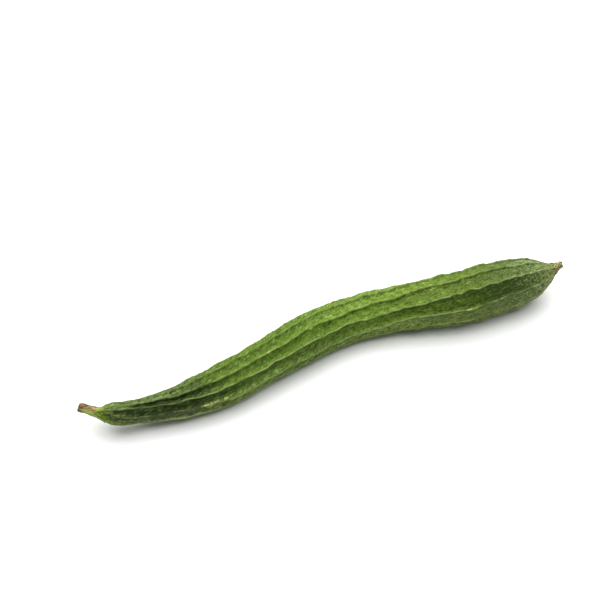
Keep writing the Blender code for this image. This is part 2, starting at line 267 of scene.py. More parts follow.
def crest_lines(share):
    """Each crest's angle and its uneven height, one row to a crest, for a line of shares.

    The angle is the twist, an even part of a turn, the crest's own shift and stray, and a wander.
    """
    rng = np.random.default_rng(SEED)
    along = share * FRUIT_LENGTH
    angles = [
        through(TWIST, share) + 360 / RIDGES * ridge + CREST_SHIFTS[ridge]
        + through(CREST_STRAYS.get(ridge, ((0, 0), (1, 0))), share)
        + CREST_WANDER * uneven(rng, along, WANDER_LENGTH)
        for ridge in range(RIDGES)
    ]
    notches = [CREST_NOTCH * uneven(rng, along, NOTCH_LENGTH) for _ in range(RIDGES)]
    return np.radians(angles), np.array(notches), rng


def eased(rise):
    """0 below 0, 1 above 1, and between them three squares less two cubes, a smooth S."""
    held = np.clip(rise, 0, 1)
    return held * held * (3 - 2 * held)


def spots(share, degrees, listed):
    """Round-edged spots on the skin, added up: each is its strength times a bell both ways."""
    total = 0
    for along, around, half_length, half_width, strength in listed:
        off = (degrees - around + 180) % 360 - 180
        total = total + strength * np.exp(
            -(((share - along) / half_length) ** 4) - (off / half_width) ** 4)
    return total


def crowded(count, crowding, close_ends):
    """Places from 0 to 1, an even step each less a sine wave, so that they crowd at 0 and 1."""
    evenly = np.linspace(0, 1, count, endpoint=close_ends)
    return evenly - crowding * np.sin(2 * math.pi * evenly) / (2 * math.pi)


def rind_grid():
    """The rind's rings of points from stem to calyx, and what its finish reads at each point.

    A ring lies square to the centreline. Its radius is the crest radius less the hollow between
    crests, plus the solid's own bumps and notches, a bead on each crest with a groove under it,
    and dimples and wrinkles in the panels. What would go through the table is eased up to it.
    """
    share = crowded(RINGS, END_CROWDING, close_ends=True)
    fine = np.random.default_rng(RELIEF_SEED)
    crest, notch, rng = crest_lines(share)
    crest += np.radians([WAVER * uneven(fine, share * FRUIT_LENGTH, WAVER_LENGTH) for _ in crest])
    crest = np.vstack([crest, crest[:1] + 2 * math.pi])
    notch = np.vstack([notch, notch[:1]])
    fraction = np.tile(crowded(COLUMNS_TO_CREST, CREST_CROWDING, close_ends=False), RIDGES)
    ridge = np.repeat(np.arange(RIDGES), COLUMNS_TO_CREST)
    angle = (crest[ridge] * (1 - fraction[:, None]) + crest[ridge + 1] * fraction[:, None]).T
    lip = (notch[ridge] * (1 - fraction[:, None]) + notch[ridge + 1] * fraction[:, None]).T
    crest_radius = through(GIRTH, share)[:, None] * BELLY_RADIUS
    hollow = sink(fraction, through(SHARPNESS, share)[:, None])
    along = share[:, None] * FRUIT_LENGTH
    small = crest_radius / BELLY_RADIUS
    bump = bumpy(rng, along, angle, BUMP_LENGTH) * PANEL_BUMP
    radius = crest_radius * (1 - through(HOLLOW, share)[:, None] * hollow)
    radius += (bump * hollow + lip * (1 - hollow)) * small

    width = crest_radius * (crest[ridge + 1] - crest[ridge]).T
    off_crest = np.minimum(fraction, 1 - fraction) * width
    dimples = bumpy(fine, along, angle, DIMPLE_LENGTH, CROSSWISE) * through(DIMPLED, share)[:, None]
    wrinkles = bumpy(fine, along, angle, WRINKLE_LENGTH, SLANTWISE)
    nicks = np.array([uneven(fine, share * FRUIT_LENGTH, NICK_LENGTH) for _ in range(RIDGES)])
    nicks = np.vstack([nicks, nicks[:1]])[ridge + (fraction > 0.5)].T
    on_crest = np.exp(-((off_crest / BEAD_REACH) ** 2))
    radius += dimples * DIMPLE_DEPTH * hollow * small
    radius += wrinkles * WRINKLE_DEPTH * np.sqrt(hollow) * small
    radius += on_crest * (BEAD_HEIGHT + nicks * NICK_DEPTH) * small
    under_crest = np.where(np.isin(ridge, FAR_PANELS), 1 - fraction, fraction) * width
    below = np.exp(-(((under_crest - UNDERCUT_OFF) / BEAD_REACH) ** 2))
    radius -= below * UNDERCUT * np.sqrt(small)

    _, up, beside = fruit_axes(share)
    out = up[:, None] * np.cos(angle)[..., None] + beside[:, None] * np.sin(angle)[..., None]
    skin = centreline(share)[:, None] + out * radius[..., None]
    skin[..., 2] = (skin[..., 2] + np.hypot(skin[..., 2], FOOT_ROUND)) / 2
    degrees = np.degrees(angle)
    phase = (ridge + fraction) / RIDGES * 2 * math.pi
    # Painted shade under each crest, deeper where the crest stands high
    crest_shade = np.exp(-(((under_crest - CREASE_OFF) / CREASE_REACH) ** 2))
    crest_shade = crest_shade * np.clip(CREASE_SHARE + CREASE_BY_NICK * nicks, CREASE_LEAST, 1)
    tone = PLAIN_TONE - spots(share[:, None], degrees, DARK_AND_SHADED_PATCHES) - CREASE_DARKER * crest_shade
    # Painted highlight and painted shade in stripes along the panels
    tone = tone - spots(share[:, None], np.degrees(phase), LIGHT_AND_SHADE_BANDS)
    leaning = np.abs((degrees + 180) % 360 - 180)
    under = eased((leaning - UNDER_FROM) / UNDER_OVER)
    coarse_under = under * (COARSE_UNDER + COARSE_NEAR_SIDE * np.sin(angle))
    coarse_tip = COARSE_TIP * eased((share[:, None] - TIP_FROM) / TIP_OVER)
    climb = phase + through(CLIMB, share)[:, None]
    straight, slanted = (
        np.stack(np.broadcast_arrays(along, crest_radius * np.cos(a), crest_radius * np.sin(a)), -1)
        for a in (phase, climb))
    facts = {
        "straight": straight,
        "slanted": slanted,
        "wrinkle": wrinkles,
        "share": np.broadcast_to(share[:, None], angle.shape),
        "off_crest": off_crest / MM,
        "dimple": dimples,
        "tone": tone,
        "under": under,
        "coarse": np.maximum(coarse_under, coarse_tip),
        "scar": spots(share[:, None], degrees, [(*scar, 1) for scar in SCARS]),
        "shoulder": spots(share[:, None], degrees, SHOULDERS),
    }
    lap = np.array(LAP)[..., None]
    start, ahead = centreline(share[:1])[0], fruit_axes(share[:1])[0][0]
    closing = start + (skin[0] - start) * lap[:, 1:] - ahead * lap[:, :1] * MM
    return np.vstack([closing, skin]), {
        key: np.vstack([np.repeat(value[:1], len(LAP), axis=0), value])
        for key, value in facts.items()
    }


def ringed_mesh(name, grids, facts):
    """One mesh over grids of points: four-sided faces from ring to ring, and a fan at each end.

    facts holds, for each grid, its named values: one number or one vector for each of its points.
    """
    points, faces, values = [], [], {key: [] for key in facts[0]}
    for grid, fact in zip(grids, facts):
        rings, columns = grid.shape[:2]
        first = sum(map(len, points))
        here = first + np.arange(rings * columns).reshape(rings, columns)
        beside = np.roll(here, -1, axis=1)
        front, back = first + rings * columns, first + rings * columns + 1
        walls = np.stack([here[:-1], beside[:-1], beside[1:], here[1:]], -1)
        faces += walls.reshape(-1, 4).tolist()
        faces += np.stack([beside[0], here[0], np.full(columns, front)], -1).tolist()
        faces += np.stack([here[-1], beside[-1], np.full(columns, back)], -1).tolist()
        points.append(np.vstack([grid.reshape(-1, 3), grid[:1].mean(1), grid[-1:].mean(1)]))
        for key, value in fact.items():
            flat = value.reshape(rings * columns, -1)
            ends = [value[:1].mean(1).reshape(1, -1), value[-1:].mean(1).reshape(1, -1)]
            values[key].append(np.vstack([flat, *ends]))
    mesh = bpy.data.meshes.new(name)
    mesh.from_pydata(np.vstack(points).tolist(), [], faces)
    for key, parts in values.items():
        whole = np.vstack(parts)
        kind, field = ("FLOAT_VECTOR", "vector") if whole.shape[1] == 3 else ("FLOAT", "value")
        attribute = mesh.attributes.new(key, kind, "POINT")
        attribute.data.foreach_set(field, whole.astype(np.float32).ravel())
    mesh.shade_smooth()
    piece = bpy.data.objects.new(name, mesh)
    bpy.context.scene.collection.objects.link(piece)
    return piece


def colour(code):
    """An sRGB hex colour as linear red, green, blue and 1: the sRGB curve undone."""
    parts = np.array([int(code[i:i + 2], 16) for i in (1, 3, 5)]) / 255
    linear = np.where(parts <= 0.04045, parts / 12.92, ((parts + 0.055) / 1.055) ** 2.4)
    return (*linear, 1)


def add(tree, kind, inputs=(), stops=(), gives=None, **settings):
    """Adds a node: its settings, its live sockets in order or by name, and a ramp's stops.

    A socket gets a value, a hex colour or a link. It gives back the output asked for, or the first.
    """
    made = tree.nodes.new("ShaderNode" + kind)
    for name, value in settings.items():
        setattr(made, name, value)
    live = [socket.identifier for socket in made.inputs if socket.enabled]
    for name, value in inputs.items() if isinstance(inputs, dict) else zip(live, inputs):
        socket = next(one for one in made.inputs if one.identifier == name)
        if isinstance(value, bpy.types.NodeSocket):
            tree.links.new(value, socket)
        else:
            socket.default_value = colour(value) if isinstance(value, str) else value
    for number, (place, value) in enumerate(stops):
        ramp = made.color_ramp.elements
        stop = ramp[number] if number < 2 else ramp.new(place)
        stop.position = place
        stop.color = colour(value)
    return made.outputs[gives] if gives else next(one for one in made.outputs if one.enabled)


rind = ringed_mesh("rind", *[[part] for part in rind_grid()])

# Cucurbit skin, grown and waxy: chlorophyll green under a thin bloom, so it is soft and nearly
# matt. Blue-green at the neck, yellower at mid length, greyer at its blossom end and where it faces
# down (there partly painted light from the table), with fine pale stipples, a pale line along each
# crest and a few dry yellowish scars. Its tone also holds painted shade under the crests and on
# slopes turned from the light, and painted highlight on the lips above the crests.
skin = bpy.data.materials.new("waxy_cucurbit_skin")
skin.use_nodes = True
tree = skin.node_tree
shader = tree.nodes["Principled BSDF"]
read = {
    name: add(tree, "Attribute", gives="Fac", attribute_name=name)
    for name in ("share", "off_crest", "tone", "under", "coarse", "scar", "dimple", "wrinkle",
                 "shoulder")
}
for name in ("straight", "slanted"):
    read[name] = add(tree, "Attribute", gives="Vector", attribute_name=name)

# Cloudy fields from 0 to 1, laid on the skin as if it were straightened out: each one's width and
# length in millimetres, its detail, its warp and whether it follows the climbing streaks. Real
# streaks and stipples are under half as wide: these are as coarse as they need to be to show.
SKIN_CLOUDS = {
    "blotch": (16, 16, 2, 0, "straight"),
    "mottle": (5, 5, 3, 0, "straight"),
    "streaks": (1.4, 6, 3, 0.5, "slanted"),
    "stipple": (1.05, 1.9, 2, 0, "slanted"),
    "fibres": (1.5, 2.4, 2, 0.6, "slanted"),
    "lines": (3, 6, 3, 0, "straight"),
    "dashes": (0.9, 2.6, 2, 0, "straight"),
}
CREST_LINE = 0.85  # millimetres to each side of a crest
SKIN_RELIEF = 0.5 * MM
cloud = {}
for name, (width, length, detail, warp, laid) in SKIN_CLOUDS.items():
    scale = (1 / (length * MM), 1 / (width * MM), 1 / (width * MM))
    place = add(tree, "Mapping", {"Vector": read[laid], "Scale": scale})
    cloud[name] = add(tree, "TexNoise", {
        "Vector": place, "Scale": 1, "Detail": detail, "Distortion": warp,
    })


def tinted(tree, base, over, fact, low, high, most=1):
    """One colour with another over it: none where the fact is low, the most where it is high."""
    amount = add(tree, "MapRange", (fact, low, high, 0, most))
    return add(tree, "Mix", (amount, base, over), data_type="RGBA")


def frayed(tree, fact, field, swing):
    """A fact about the surface with an uneven edge: a cloudy field's swing is added to it."""
    swung = add(tree, "MapRange", (field, 0.3, 0.7, -swing, swing))
    return add(tree, "Math", (fact, swung), operation="ADD")


place = frayed(tree, read["share"], cloud["blotch"], 0.02)
deep = add(tree, "ValToRGB", (place,), stops=(
    (0.0, "#1f2c09"), (0.14, "#1b2907"), (0.3, "#293f08"), (0.6, "#2c4209"),
    (0.8, "#273a0b"), (0.92, "#2c3a16"), (1.0, "#444c28")))
fresh = add(tree, "ValToRGB", (place,), stops=(
    (0.0, "#6c7e44"), (0.12, "#6d824a"), (0.24, "#65802b"), (0.4, "#668429"),
    (0.62, "#749132"), (0.82, "#6a802f"), (0.94, "#768852"), (1.0, "#87974c")))

# What speckles the skin: a field, the low and high that are read, how far that swings the tone,
# and what it is stronger by
at_neck = add(tree, "MapRange", (read["share"], 0.12, 0.3, 2, 1))
grain = 0
for field, low, high, swing, stronger in (
    (cloud["blotch"], 0.3, 0.7, 0.06, 1), (cloud["mottle"], 0.3, 0.7, 0.08, 1),
    (read["dimple"], -2, 2, 0.12, 1), (read["wrinkle"], -2, 2, 0.08, 1),
    (cloud["streaks"], 0.3, 0.7, 0.24, at_neck), (cloud["stipple"], 0.32, 0.68, 0.34, 1),
    (cloud["fibres"], 0.3, 0.7, 0.55, read["coarse"]),
):
    swung = add(tree, "MapRange", (field, low, high, -swing, swing))
    swung = add(tree, "Math", (swung, stronger), operation="MULTIPLY")
    grain = add(tree, "Math", (grain, swung), operation="ADD")

# It is fainter on dark skin and on a crest, and a little stronger where the skin faces down
louder = add(tree, "MapRange", (read["tone"], 0, 0.6, 0.5, 1))
facing_down = add(tree, "MapRange", (read["under"], 0, 1, 0, 0.25))
louder = add(tree, "Math", (louder, facing_down), operation="ADD")
in_panel = add(tree, "MapRange", (read["off_crest"], 0.2, 1.8, 0.5, 1))
louder = add(tree, "Math", (louder, in_panel), operation="MULTIPLY")
grain = add(tree, "Math", (grain, louder), operation="MULTIPLY")
tone = add(tree, "Math", (read["tone"], grain), operation="ADD")

green = add(tree, "Mix", (tone, deep, fresh), data_type="RGBA")
# Paler past fresh green: mostly painted highlight on the crest lips that the painted bands lift,
# and some pale speckle from the grain.
green = tinted(tree, green, "#a4b577", tone, 0.8, 1.5, 0.7)
# Greyer where the skin faces down: partly its own bloom and partly painted light bounced up from
# the white table.
bloom_and_bounce = add(tree, "Math", (read["under"], 0.2), operation="MULTIPLY")
green = add(tree, "Mix", (bloom_and_bounce, green, "#7f8b5c"), data_type="RGBA")

pale_line = 1
for field, low, high, at_low, at_high in (
    (read["off_crest"], 0.3, CREST_LINE, 1, 0), (cloud["lines"], 0.42, 0.6, 0.08, 0.72),
    (read["share"], 0.1, 0.3, 0.5, 1),
):
    part = add(tree, "MapRange", (field, low, high, at_low, at_high))
    pale_line = add(tree, "Math", (pale_line, part), operation="MULTIPLY")
green = add(tree, "Mix", (pale_line, green, "#93a262"), data_type="RGBA")

lime = tinted(tree, "#526b26", "#7d9140", cloud["stipple"], 0.35, 0.65)
shoulder = frayed(tree, read["shoulder"], cloud["streaks"], 0.4)
green = tinted(tree, green, lime, shoulder, 0.2, 0.9)
straw = tinted(tree, "#4c4620", "#8e8450", cloud["fibres"], 0.35, 0.65)
tip = frayed(tree, add(tree, "MapRange", (read["share"], 0.974, 1, 0, 1)), cloud["streaks"], 0.4)
green = tinted(tree, green, straw, tip, 0.3, 1, 0.85)

fleck = add(tree, "MapRange", (cloud["stipple"], 0.64, 0.74, 0, 1))
patch = add(tree, "MapRange", (cloud["mottle"], 0.5, 0.6, 0, 1))
fleck = add(tree, "Math", (fleck, patch), operation="MULTIPLY")
fleck = add(tree, "Math", (fleck, 0.35), operation="MULTIPLY")
green = add(tree, "Mix", (fleck, green, "#a9b177"), data_type="RGBA")
dash = add(tree, "MapRange", (cloud["dashes"], 0.44, 0.54, 0, 1))
dry = add(tree, "Math", (read["scar"], dash), operation="MULTIPLY")
green = add(tree, "Mix", (dry, green, "#c0c46e"), data_type="RGBA")
tree.links.new(green, shader.inputs["Base Color"])

shader.inputs["Roughness"].default_value = 0.52
shader.inputs["Specular IOR Level"].default_value = 0.09
height = add(tree, "Math", (cloud["stipple"], 0.4), operation="MULTIPLY")
height = add(tree, "Math", (cloud["streaks"], height), operation="ADD")
bump = add(tree, "Bump", {"Height": height, "Distance": SKIN_RELIEF, "Strength": 1})
tree.links.new(bump, shader.inputs["Normal"])
rind.data.materials.append(skin)
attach(rind, "root")
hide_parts("fruit")

# The stalk
# The stem that the gourd hung from, cut with a knife: a fibrous tube with five flutes that flare
# into the fruit's shoulder. It is still lime green at its foot, and dried brown at the cut and
# along its upper far side.

GAP = 0.3 * MM
STEM_TIP = (-209.1 * MM, 3.8 * MM, 20.4 * MM)
STEM_TIP_HEADING = (-0.9, 0.42, 0.1)
STEM_PULL = 7 * MM
STEM_GIRTH = (  # in millimetres
    (0, 6.7), (0.1, 5.4), (0.24, 4.3), (0.38, 3.8), (0.53, 3.6), (0.75, 3.45), (0.95, 3.3),
    (1, 3.1),
)
STEM_FLUTES = 5
FLUTE_DEPTH = 0.09
STALK_SEED = 11
STALK_RINGS = 150
STALK_COLUMNS = 110
STALK_ROOTED = 1.4 * MM  # how far it goes on inside the fruit's end
STALK_FIBRES = 17
FIBRE_HEIGHT = 0.1 * MM
FIBRE_RUN = 60 * MM
STALK_LUMP = 0.08 * MM
LUMP_LENGTH = 7 * MM
CUT_SLANT = 0.15  # the knife's slope: the lower side is left longer
CUT_TURN = 50  # degrees that the slope is turned off the vertical
SLANT_FROM = 0.6  # share of the stalk from which its rings lean over to the cut
CUT_RINGS = 14
CUT_CROWDING = 1.3
CUT_RECESS = 0.5 * MM
PIT_LENGTH = 4 * MM
PIT_SPREAD = 9 * MM
PIT_UNEVEN = 0.35
DRY_FROM = 0.84  # share of the stalk from which it is dried all round
DRY_OVER = 0.14
GREEN_TO = 0.03  # and up to which it is as green as the fruit
GREEN_OVER = 0.13
DRIED_SIDES = (  # the second is degrees from the top towards -Y, the last how far back it dried
    (0, -60, 1, 26, 0.6), (0, -18, 1, 24, 0.27), (0, 25, 1, 26, 0.18), (0, 140, 1, 30, 0.1),
    (0, 220, 1, 24, 0.1), (0, 84, 1, 30, 0.1),
)
GREEN_TONGUES = (  # in the same way, how far the fruit's own green runs up the stalk
    (0, 40, 1, 22, 0.31), (0, 66, 1, 14, 0.2), (0, -75, 1, 20, 0.1), (0, -132, 1, 22, 0.2),
    (0, 152, 1, 22, 0.24), (0, 196, 1, 20, 0.16),
)
BLEACHED = (  # share along, degrees, half length, half width, how strongly
    (0.48, 4, 0.2, 46, 1), (0.72, -22, 0.12, 16, 0.8), (0.6, 122, 0.36, 12, 0.8),
)


def tube_grid(centres, headings, radii, angles):
    """Rings of points round a line of centres: radii gives each ring's row of radii."""
    _, up, beside = section_axes(headings)
    out = up[:, None] * np.cos(angles)[..., None] + beside[:, None] * np.sin(angles)[..., None]
    return centres[:, None] + out * radii[..., None]


def ripples(rng, along, angles, length, turns):
    """An uneven field on a tube, about 1 high: waves along it, each with whole turns around it."""
    number = 2 * math.pi / (length * rng.uniform(0.5, 1.8, WAVES))
    around = rng.integers(turns[0], turns[1] + 1, WAVES) * rng.choice((-1, 1), WAVES)
    lag = rng.uniform(0, 2 * math.pi, WAVES)
    total = sum(np.sin(along * n + angles * a + l) for n, a, l in zip(number, around, lag))
    return total * math.sqrt(2 / WAVES)


def stalk_grid():
    """The stalk's rings, from inside the fruit out to the slanted cut and in over its face.

    Their centres follow a cubic curve with four pulls. A radius is the girth times one and the
    flutes' cosine, plus fibres and lumps. On the cut face the radii shrink and the face sinks in.
    """
    rng = np.random.default_rng(STALK_SEED)
    start = centreline(np.array([0.0]))[0]
    ahead = fruit_axes(np.array([0.0]))[0][0]
    root = start - ahead * GAP
    tip = np.array(STEM_TIP)
    tip_heading = unit(np.array(STEM_TIP_HEADING))
    pulls = (root, root - ahead * STEM_PULL, tip - tip_heading * STEM_PULL, tip)
    t = np.linspace(0, 1, STALK_RINGS)
    weights = ((1 - t) ** 3, 3 * t * (1 - t) ** 2, 3 * t**2 * (1 - t), t**3)
    centres = sum(np.multiply.outer(weight, pull) for weight, pull in zip(weights, pulls))
    headings = np.gradient(centres, axis=0)
    headings[0] = -ahead
    length = np.linalg.norm(np.diff(centres, axis=0), axis=1).sum()
    inward = np.linspace(1, 0, CUT_RINGS + 1)[1:-1] ** CUT_CROWDING
    reach = np.concatenate([[0], t, np.ones(len(inward))])[:, None]
    shrink = np.concatenate([[1], np.ones(len(t)), inward])[:, None]
    centres = np.vstack([[root + ahead * STALK_ROOTED], centres, np.tile(tip, (len(inward), 1))])
    headings = np.vstack([[-ahead], headings, np.tile(headings[-1], (len(inward), 1))])
    angles = np.tile(np.arange(STALK_COLUMNS) / STALK_COLUMNS * 2 * math.pi, (len(reach), 1))
    radii = through(STEM_GIRTH, reach) * MM * (1 + FLUTE_DEPTH * np.cos(STEM_FLUTES * angles))
    fibres = ripples(rng, reach * length, angles, FIBRE_RUN, (STALK_FIBRES, 2 * STALK_FIBRES))
    lumps = ripples(rng, reach * length, angles, LUMP_LENGTH, (1, 4))
    radii += fibres * FIBRE_HEIGHT
    radii += lumps * STALK_LUMP * (0.3 + reach)
    grid = tube_grid(centres, headings, radii * shrink, angles)
    degrees = -np.degrees(angles)
    lean = eased((reach - SLANT_FROM) / (1 - SLANT_FROM))
    slant = CUT_SLANT * radii * shrink * -np.cos(np.radians(degrees + CUT_TURN)) * lean
    pits = ripples(rng, shrink * PIT_SPREAD, angles, PIT_LENGTH, (1, 7))
    pitted = CUT_RECESS * (1 - shrink**2) * (1 + PIT_UNEVEN * pits)
    grid += tip_heading * (slant - pitted * (shrink < 1))[..., None]
    straight = np.stack(
        np.broadcast_arrays(reach * length, radii * np.cos(angles), radii * np.sin(angles)), -1)
    return grid, {
        "straight": straight * shrink[..., None],
        "reach": np.broadcast_to(reach, angles.shape),
        "dried": (reach - DRY_FROM + spots(0, degrees, DRIED_SIDES)) / DRY_OVER,
        "greened": (GREEN_TO + spots(0, degrees, GREEN_TONGUES) - reach) / GREEN_OVER + 0.5,
        "cut": np.broadcast_to(1 - shrink, angles.shape),
        "bleached": spots(reach, (degrees + 180) % 360 - 180, BLEACHED),
    }


stalk = ringed_mesh("stalk", *[[part] for part in stalk_grid()])

# Drying cucurbit stalk: watery green fibre that fades to lime and dries to a brown husk, matt and
# lengthwise streaked, with a bleached and speckled patch on top and a paler pith at the cut.
husk = bpy.data.materials.new("drying_fibrous_stalk")
husk.use_nodes = True
tree = husk.node_tree
shader = tree.nodes["Principled BSDF"]
read = {
    name: add(tree, "Attribute", gives="Fac", attribute_name=name)
    for name in ("reach", "dried", "greened", "cut", "bleached")
}
straight = add(tree, "Attribute", gives="Vector", attribute_name="straight")
STALK_CLOUDS = {  # width and length in millimetres, and detail
    "streaks": (0.8, 6, 2), "patches": (1.8, 2.6, 3), "specks": (1.1, 1.4, 2),
}
STALK_RELIEF = 0.25 * MM
cloud = {}
for name, (width, length, detail) in STALK_CLOUDS.items():
    scale = (1 / (length * MM), 1 / (width * MM), 1 / (width * MM))
    place = add(tree, "Mapping", {"Vector": straight, "Scale": scale})
    cloud[name] = add(tree, "TexNoise", {"Vector": place, "Scale": 1, "Detail": detail})
body = add(tree, "ValToRGB", (read["reach"],), stops=(
    (0.0, "#627a2e"), (0.12, "#76883a"), (0.3, "#8e9a4a"), (0.6, "#8a9a3e"), (0.8, "#908c50"),
    (1.0, "#86693f")))
body = tinted(tree, body, "#b5ba76", cloud["streaks"], 0.4, 0.65, 0.4)
body = tinted(tree, body, "#647a2a", cloud["patches"], 0.5, 0.68, 0.5)
leafy = tinted(tree, "#2c4009", "#6c8524", cloud["specks"], 0.35, 0.65)
body = tinted(tree, body, leafy, frayed(tree, read["greened"], cloud["streaks"], 0.45), 0.2, 0.8)
mottled = tinted(tree, "#b9ad80", "#70512f", cloud["specks"], 0.39, 0.55)
bleached = frayed(tree, read["bleached"], cloud["patches"], 0.5)
body = tinted(tree, body, mottled, bleached, 0.3, 0.9, 0.95)
brown = tinted(tree, "#4f3a24", "#8e6f4d", cloud["streaks"], 0.35, 0.65)
brown = tinted(tree, brown, "#453319", cloud["specks"], 0.5, 0.64, 0.8)
body = tinted(tree, body, brown, frayed(tree, read["dried"], cloud["patches"], 0.6), 0.2, 0.8)
pith = tinted(tree, "#c2b08e", "#7d6a48", cloud["specks"], 0.35, 0.65)
body = tinted(tree, body, pith, read["cut"], 0.01, 0.12)
tree.links.new(body, shader.inputs["Base Color"])
shader.inputs["Roughness"].default_value = 0.7
shader.inputs["Specular IOR Level"].default_value = 0.15
height = add(tree, "Math", (cloud["specks"], 0.5), operation="MULTIPLY")
height = add(tree, "Math", (cloud["streaks"], height), operation="ADD")
bump = add(tree, "Bump", {"Height": height, "Distance": STALK_RELIEF, "Strength": 1})
tree.links.new(bump, shader.inputs["Normal"])
stalk.data.materials.append(husk)
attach(stalk, "root")
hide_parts("stem")

# The withered calyx
# What is left of the flower at the blossom end: the dried cup that held it, five shrunken lobes
# folded over it, the stub of the style and a few threads, all thin, brittle and straw-coloured.

CUP_LENGTH = 3.8 * MM
CUP_GIRTH = ((0, 4.1), (0.3, 3.8), (0.7, 3.5), (1, 2.7))  # in millimetres
CUP_RIBS = 10
CUP_RIB_DEPTH = 0.05
LOBE_ROOT = 2.3 * MM
LOBE_SINK = 1.6 * MM
LOBE_WIDTH = 3.9 * MM
LOBES = (  # each one's length in millimetres, then the degrees that it leans out and curls on
    (4.7, 8, -14), (4.2, 12, -8), (3.8, 12, -8), (4.2, 4, 4), (4.4, 8, -10),
)
STYLE_LENGTH = 4.9 * MM
STYLE_RADIUS = 1.5 * MM
CALYX_SEED = 23
SKIRT_LENGTH = 5.2 * MM  # how far the cup's torn foot laps the rind
SKIRT_LIFT = 0.22 * MM
SKIRT_LONGEST = 0.7  # radians from the top towards -Y where it laps furthest
SKIRT_RINGS = 20
CUP_RINGS = 46
CUP_COLUMNS = 120
CUP_DENT = 0.16 * MM
DENT_LENGTH = 3 * MM
CUP_MOUTH_RINGS = 12
BLADE_RINGS = 44
BLADE_COLUMNS = 28
BLADE_THICKNESS = 0.55 * MM
CRUMPLE = 0.3 * MM
THREADS = 7
THREAD_LENGTH = 3.6 * MM
THREAD_RADIUS = 0.16 * MM
LOW_SIDE = 6 * MM  # how gradually the calyx turns browner towards its lower side


def blade_grid(rng, length, lean, curl, width, thickness, crumple):
    """A dried blade: its rings start along +Z, lean to +X and curl on, narrow and end raggedly.

    Both its faces are pushed aside alike by waves along and across it, so that it is crumpled.
    """
    t = np.linspace(0, 1, BLADE_RINGS)
    bend = np.radians(lean + curl * t)
    step = length / (BLADE_RINGS - 1)
    x = np.concatenate([[0], np.cumsum(np.sin(bend[:-1]) * step)])
    z = np.concatenate([[0], np.cumsum(np.cos(bend[:-1]) * step)])
    angles = np.arange(BLADE_COLUMNS) / BLADE_COLUMNS * 2 * math.pi
    across = np.sin(angles)
    lags = rng.uniform(0, 2 * math.pi, 4)
    ragged = 0.12 * np.sin(4 * across + lags[0]) + 0.1 * np.sin(11 * across + lags[1])
    taper = np.sqrt(1.12 - t**2.2)[:, None] * (1 + 0.1 * np.sin(9 * t + lags[2]))[:, None]
    fold = np.sin(3.4 * across + 5 * t[:, None] + lags[2])
    fold = fold + np.sin(6 * across - 8 * t[:, None] + lags[3])
    deep = (1 - 0.4 * t)[:, None] * np.cos(angles) * thickness / 2 + fold * crumple / 2
    face = np.stack([np.cos(bend), 0 * bend, -np.sin(bend)], -1)
    grid = np.stack([x, 0 * x, z], -1)[:, None] + face[:, None] * deep[..., None]
    grid = grid + np.array([0.0, 1.0, 0.0]) * (taper * across * width / 2)[..., None]
    ahead = np.stack([np.sin(bend), 0 * bend, np.cos(bend)], -1)
    return grid + ahead[:, None] * (t[:, None] ** 3 * ragged * length)[..., None]


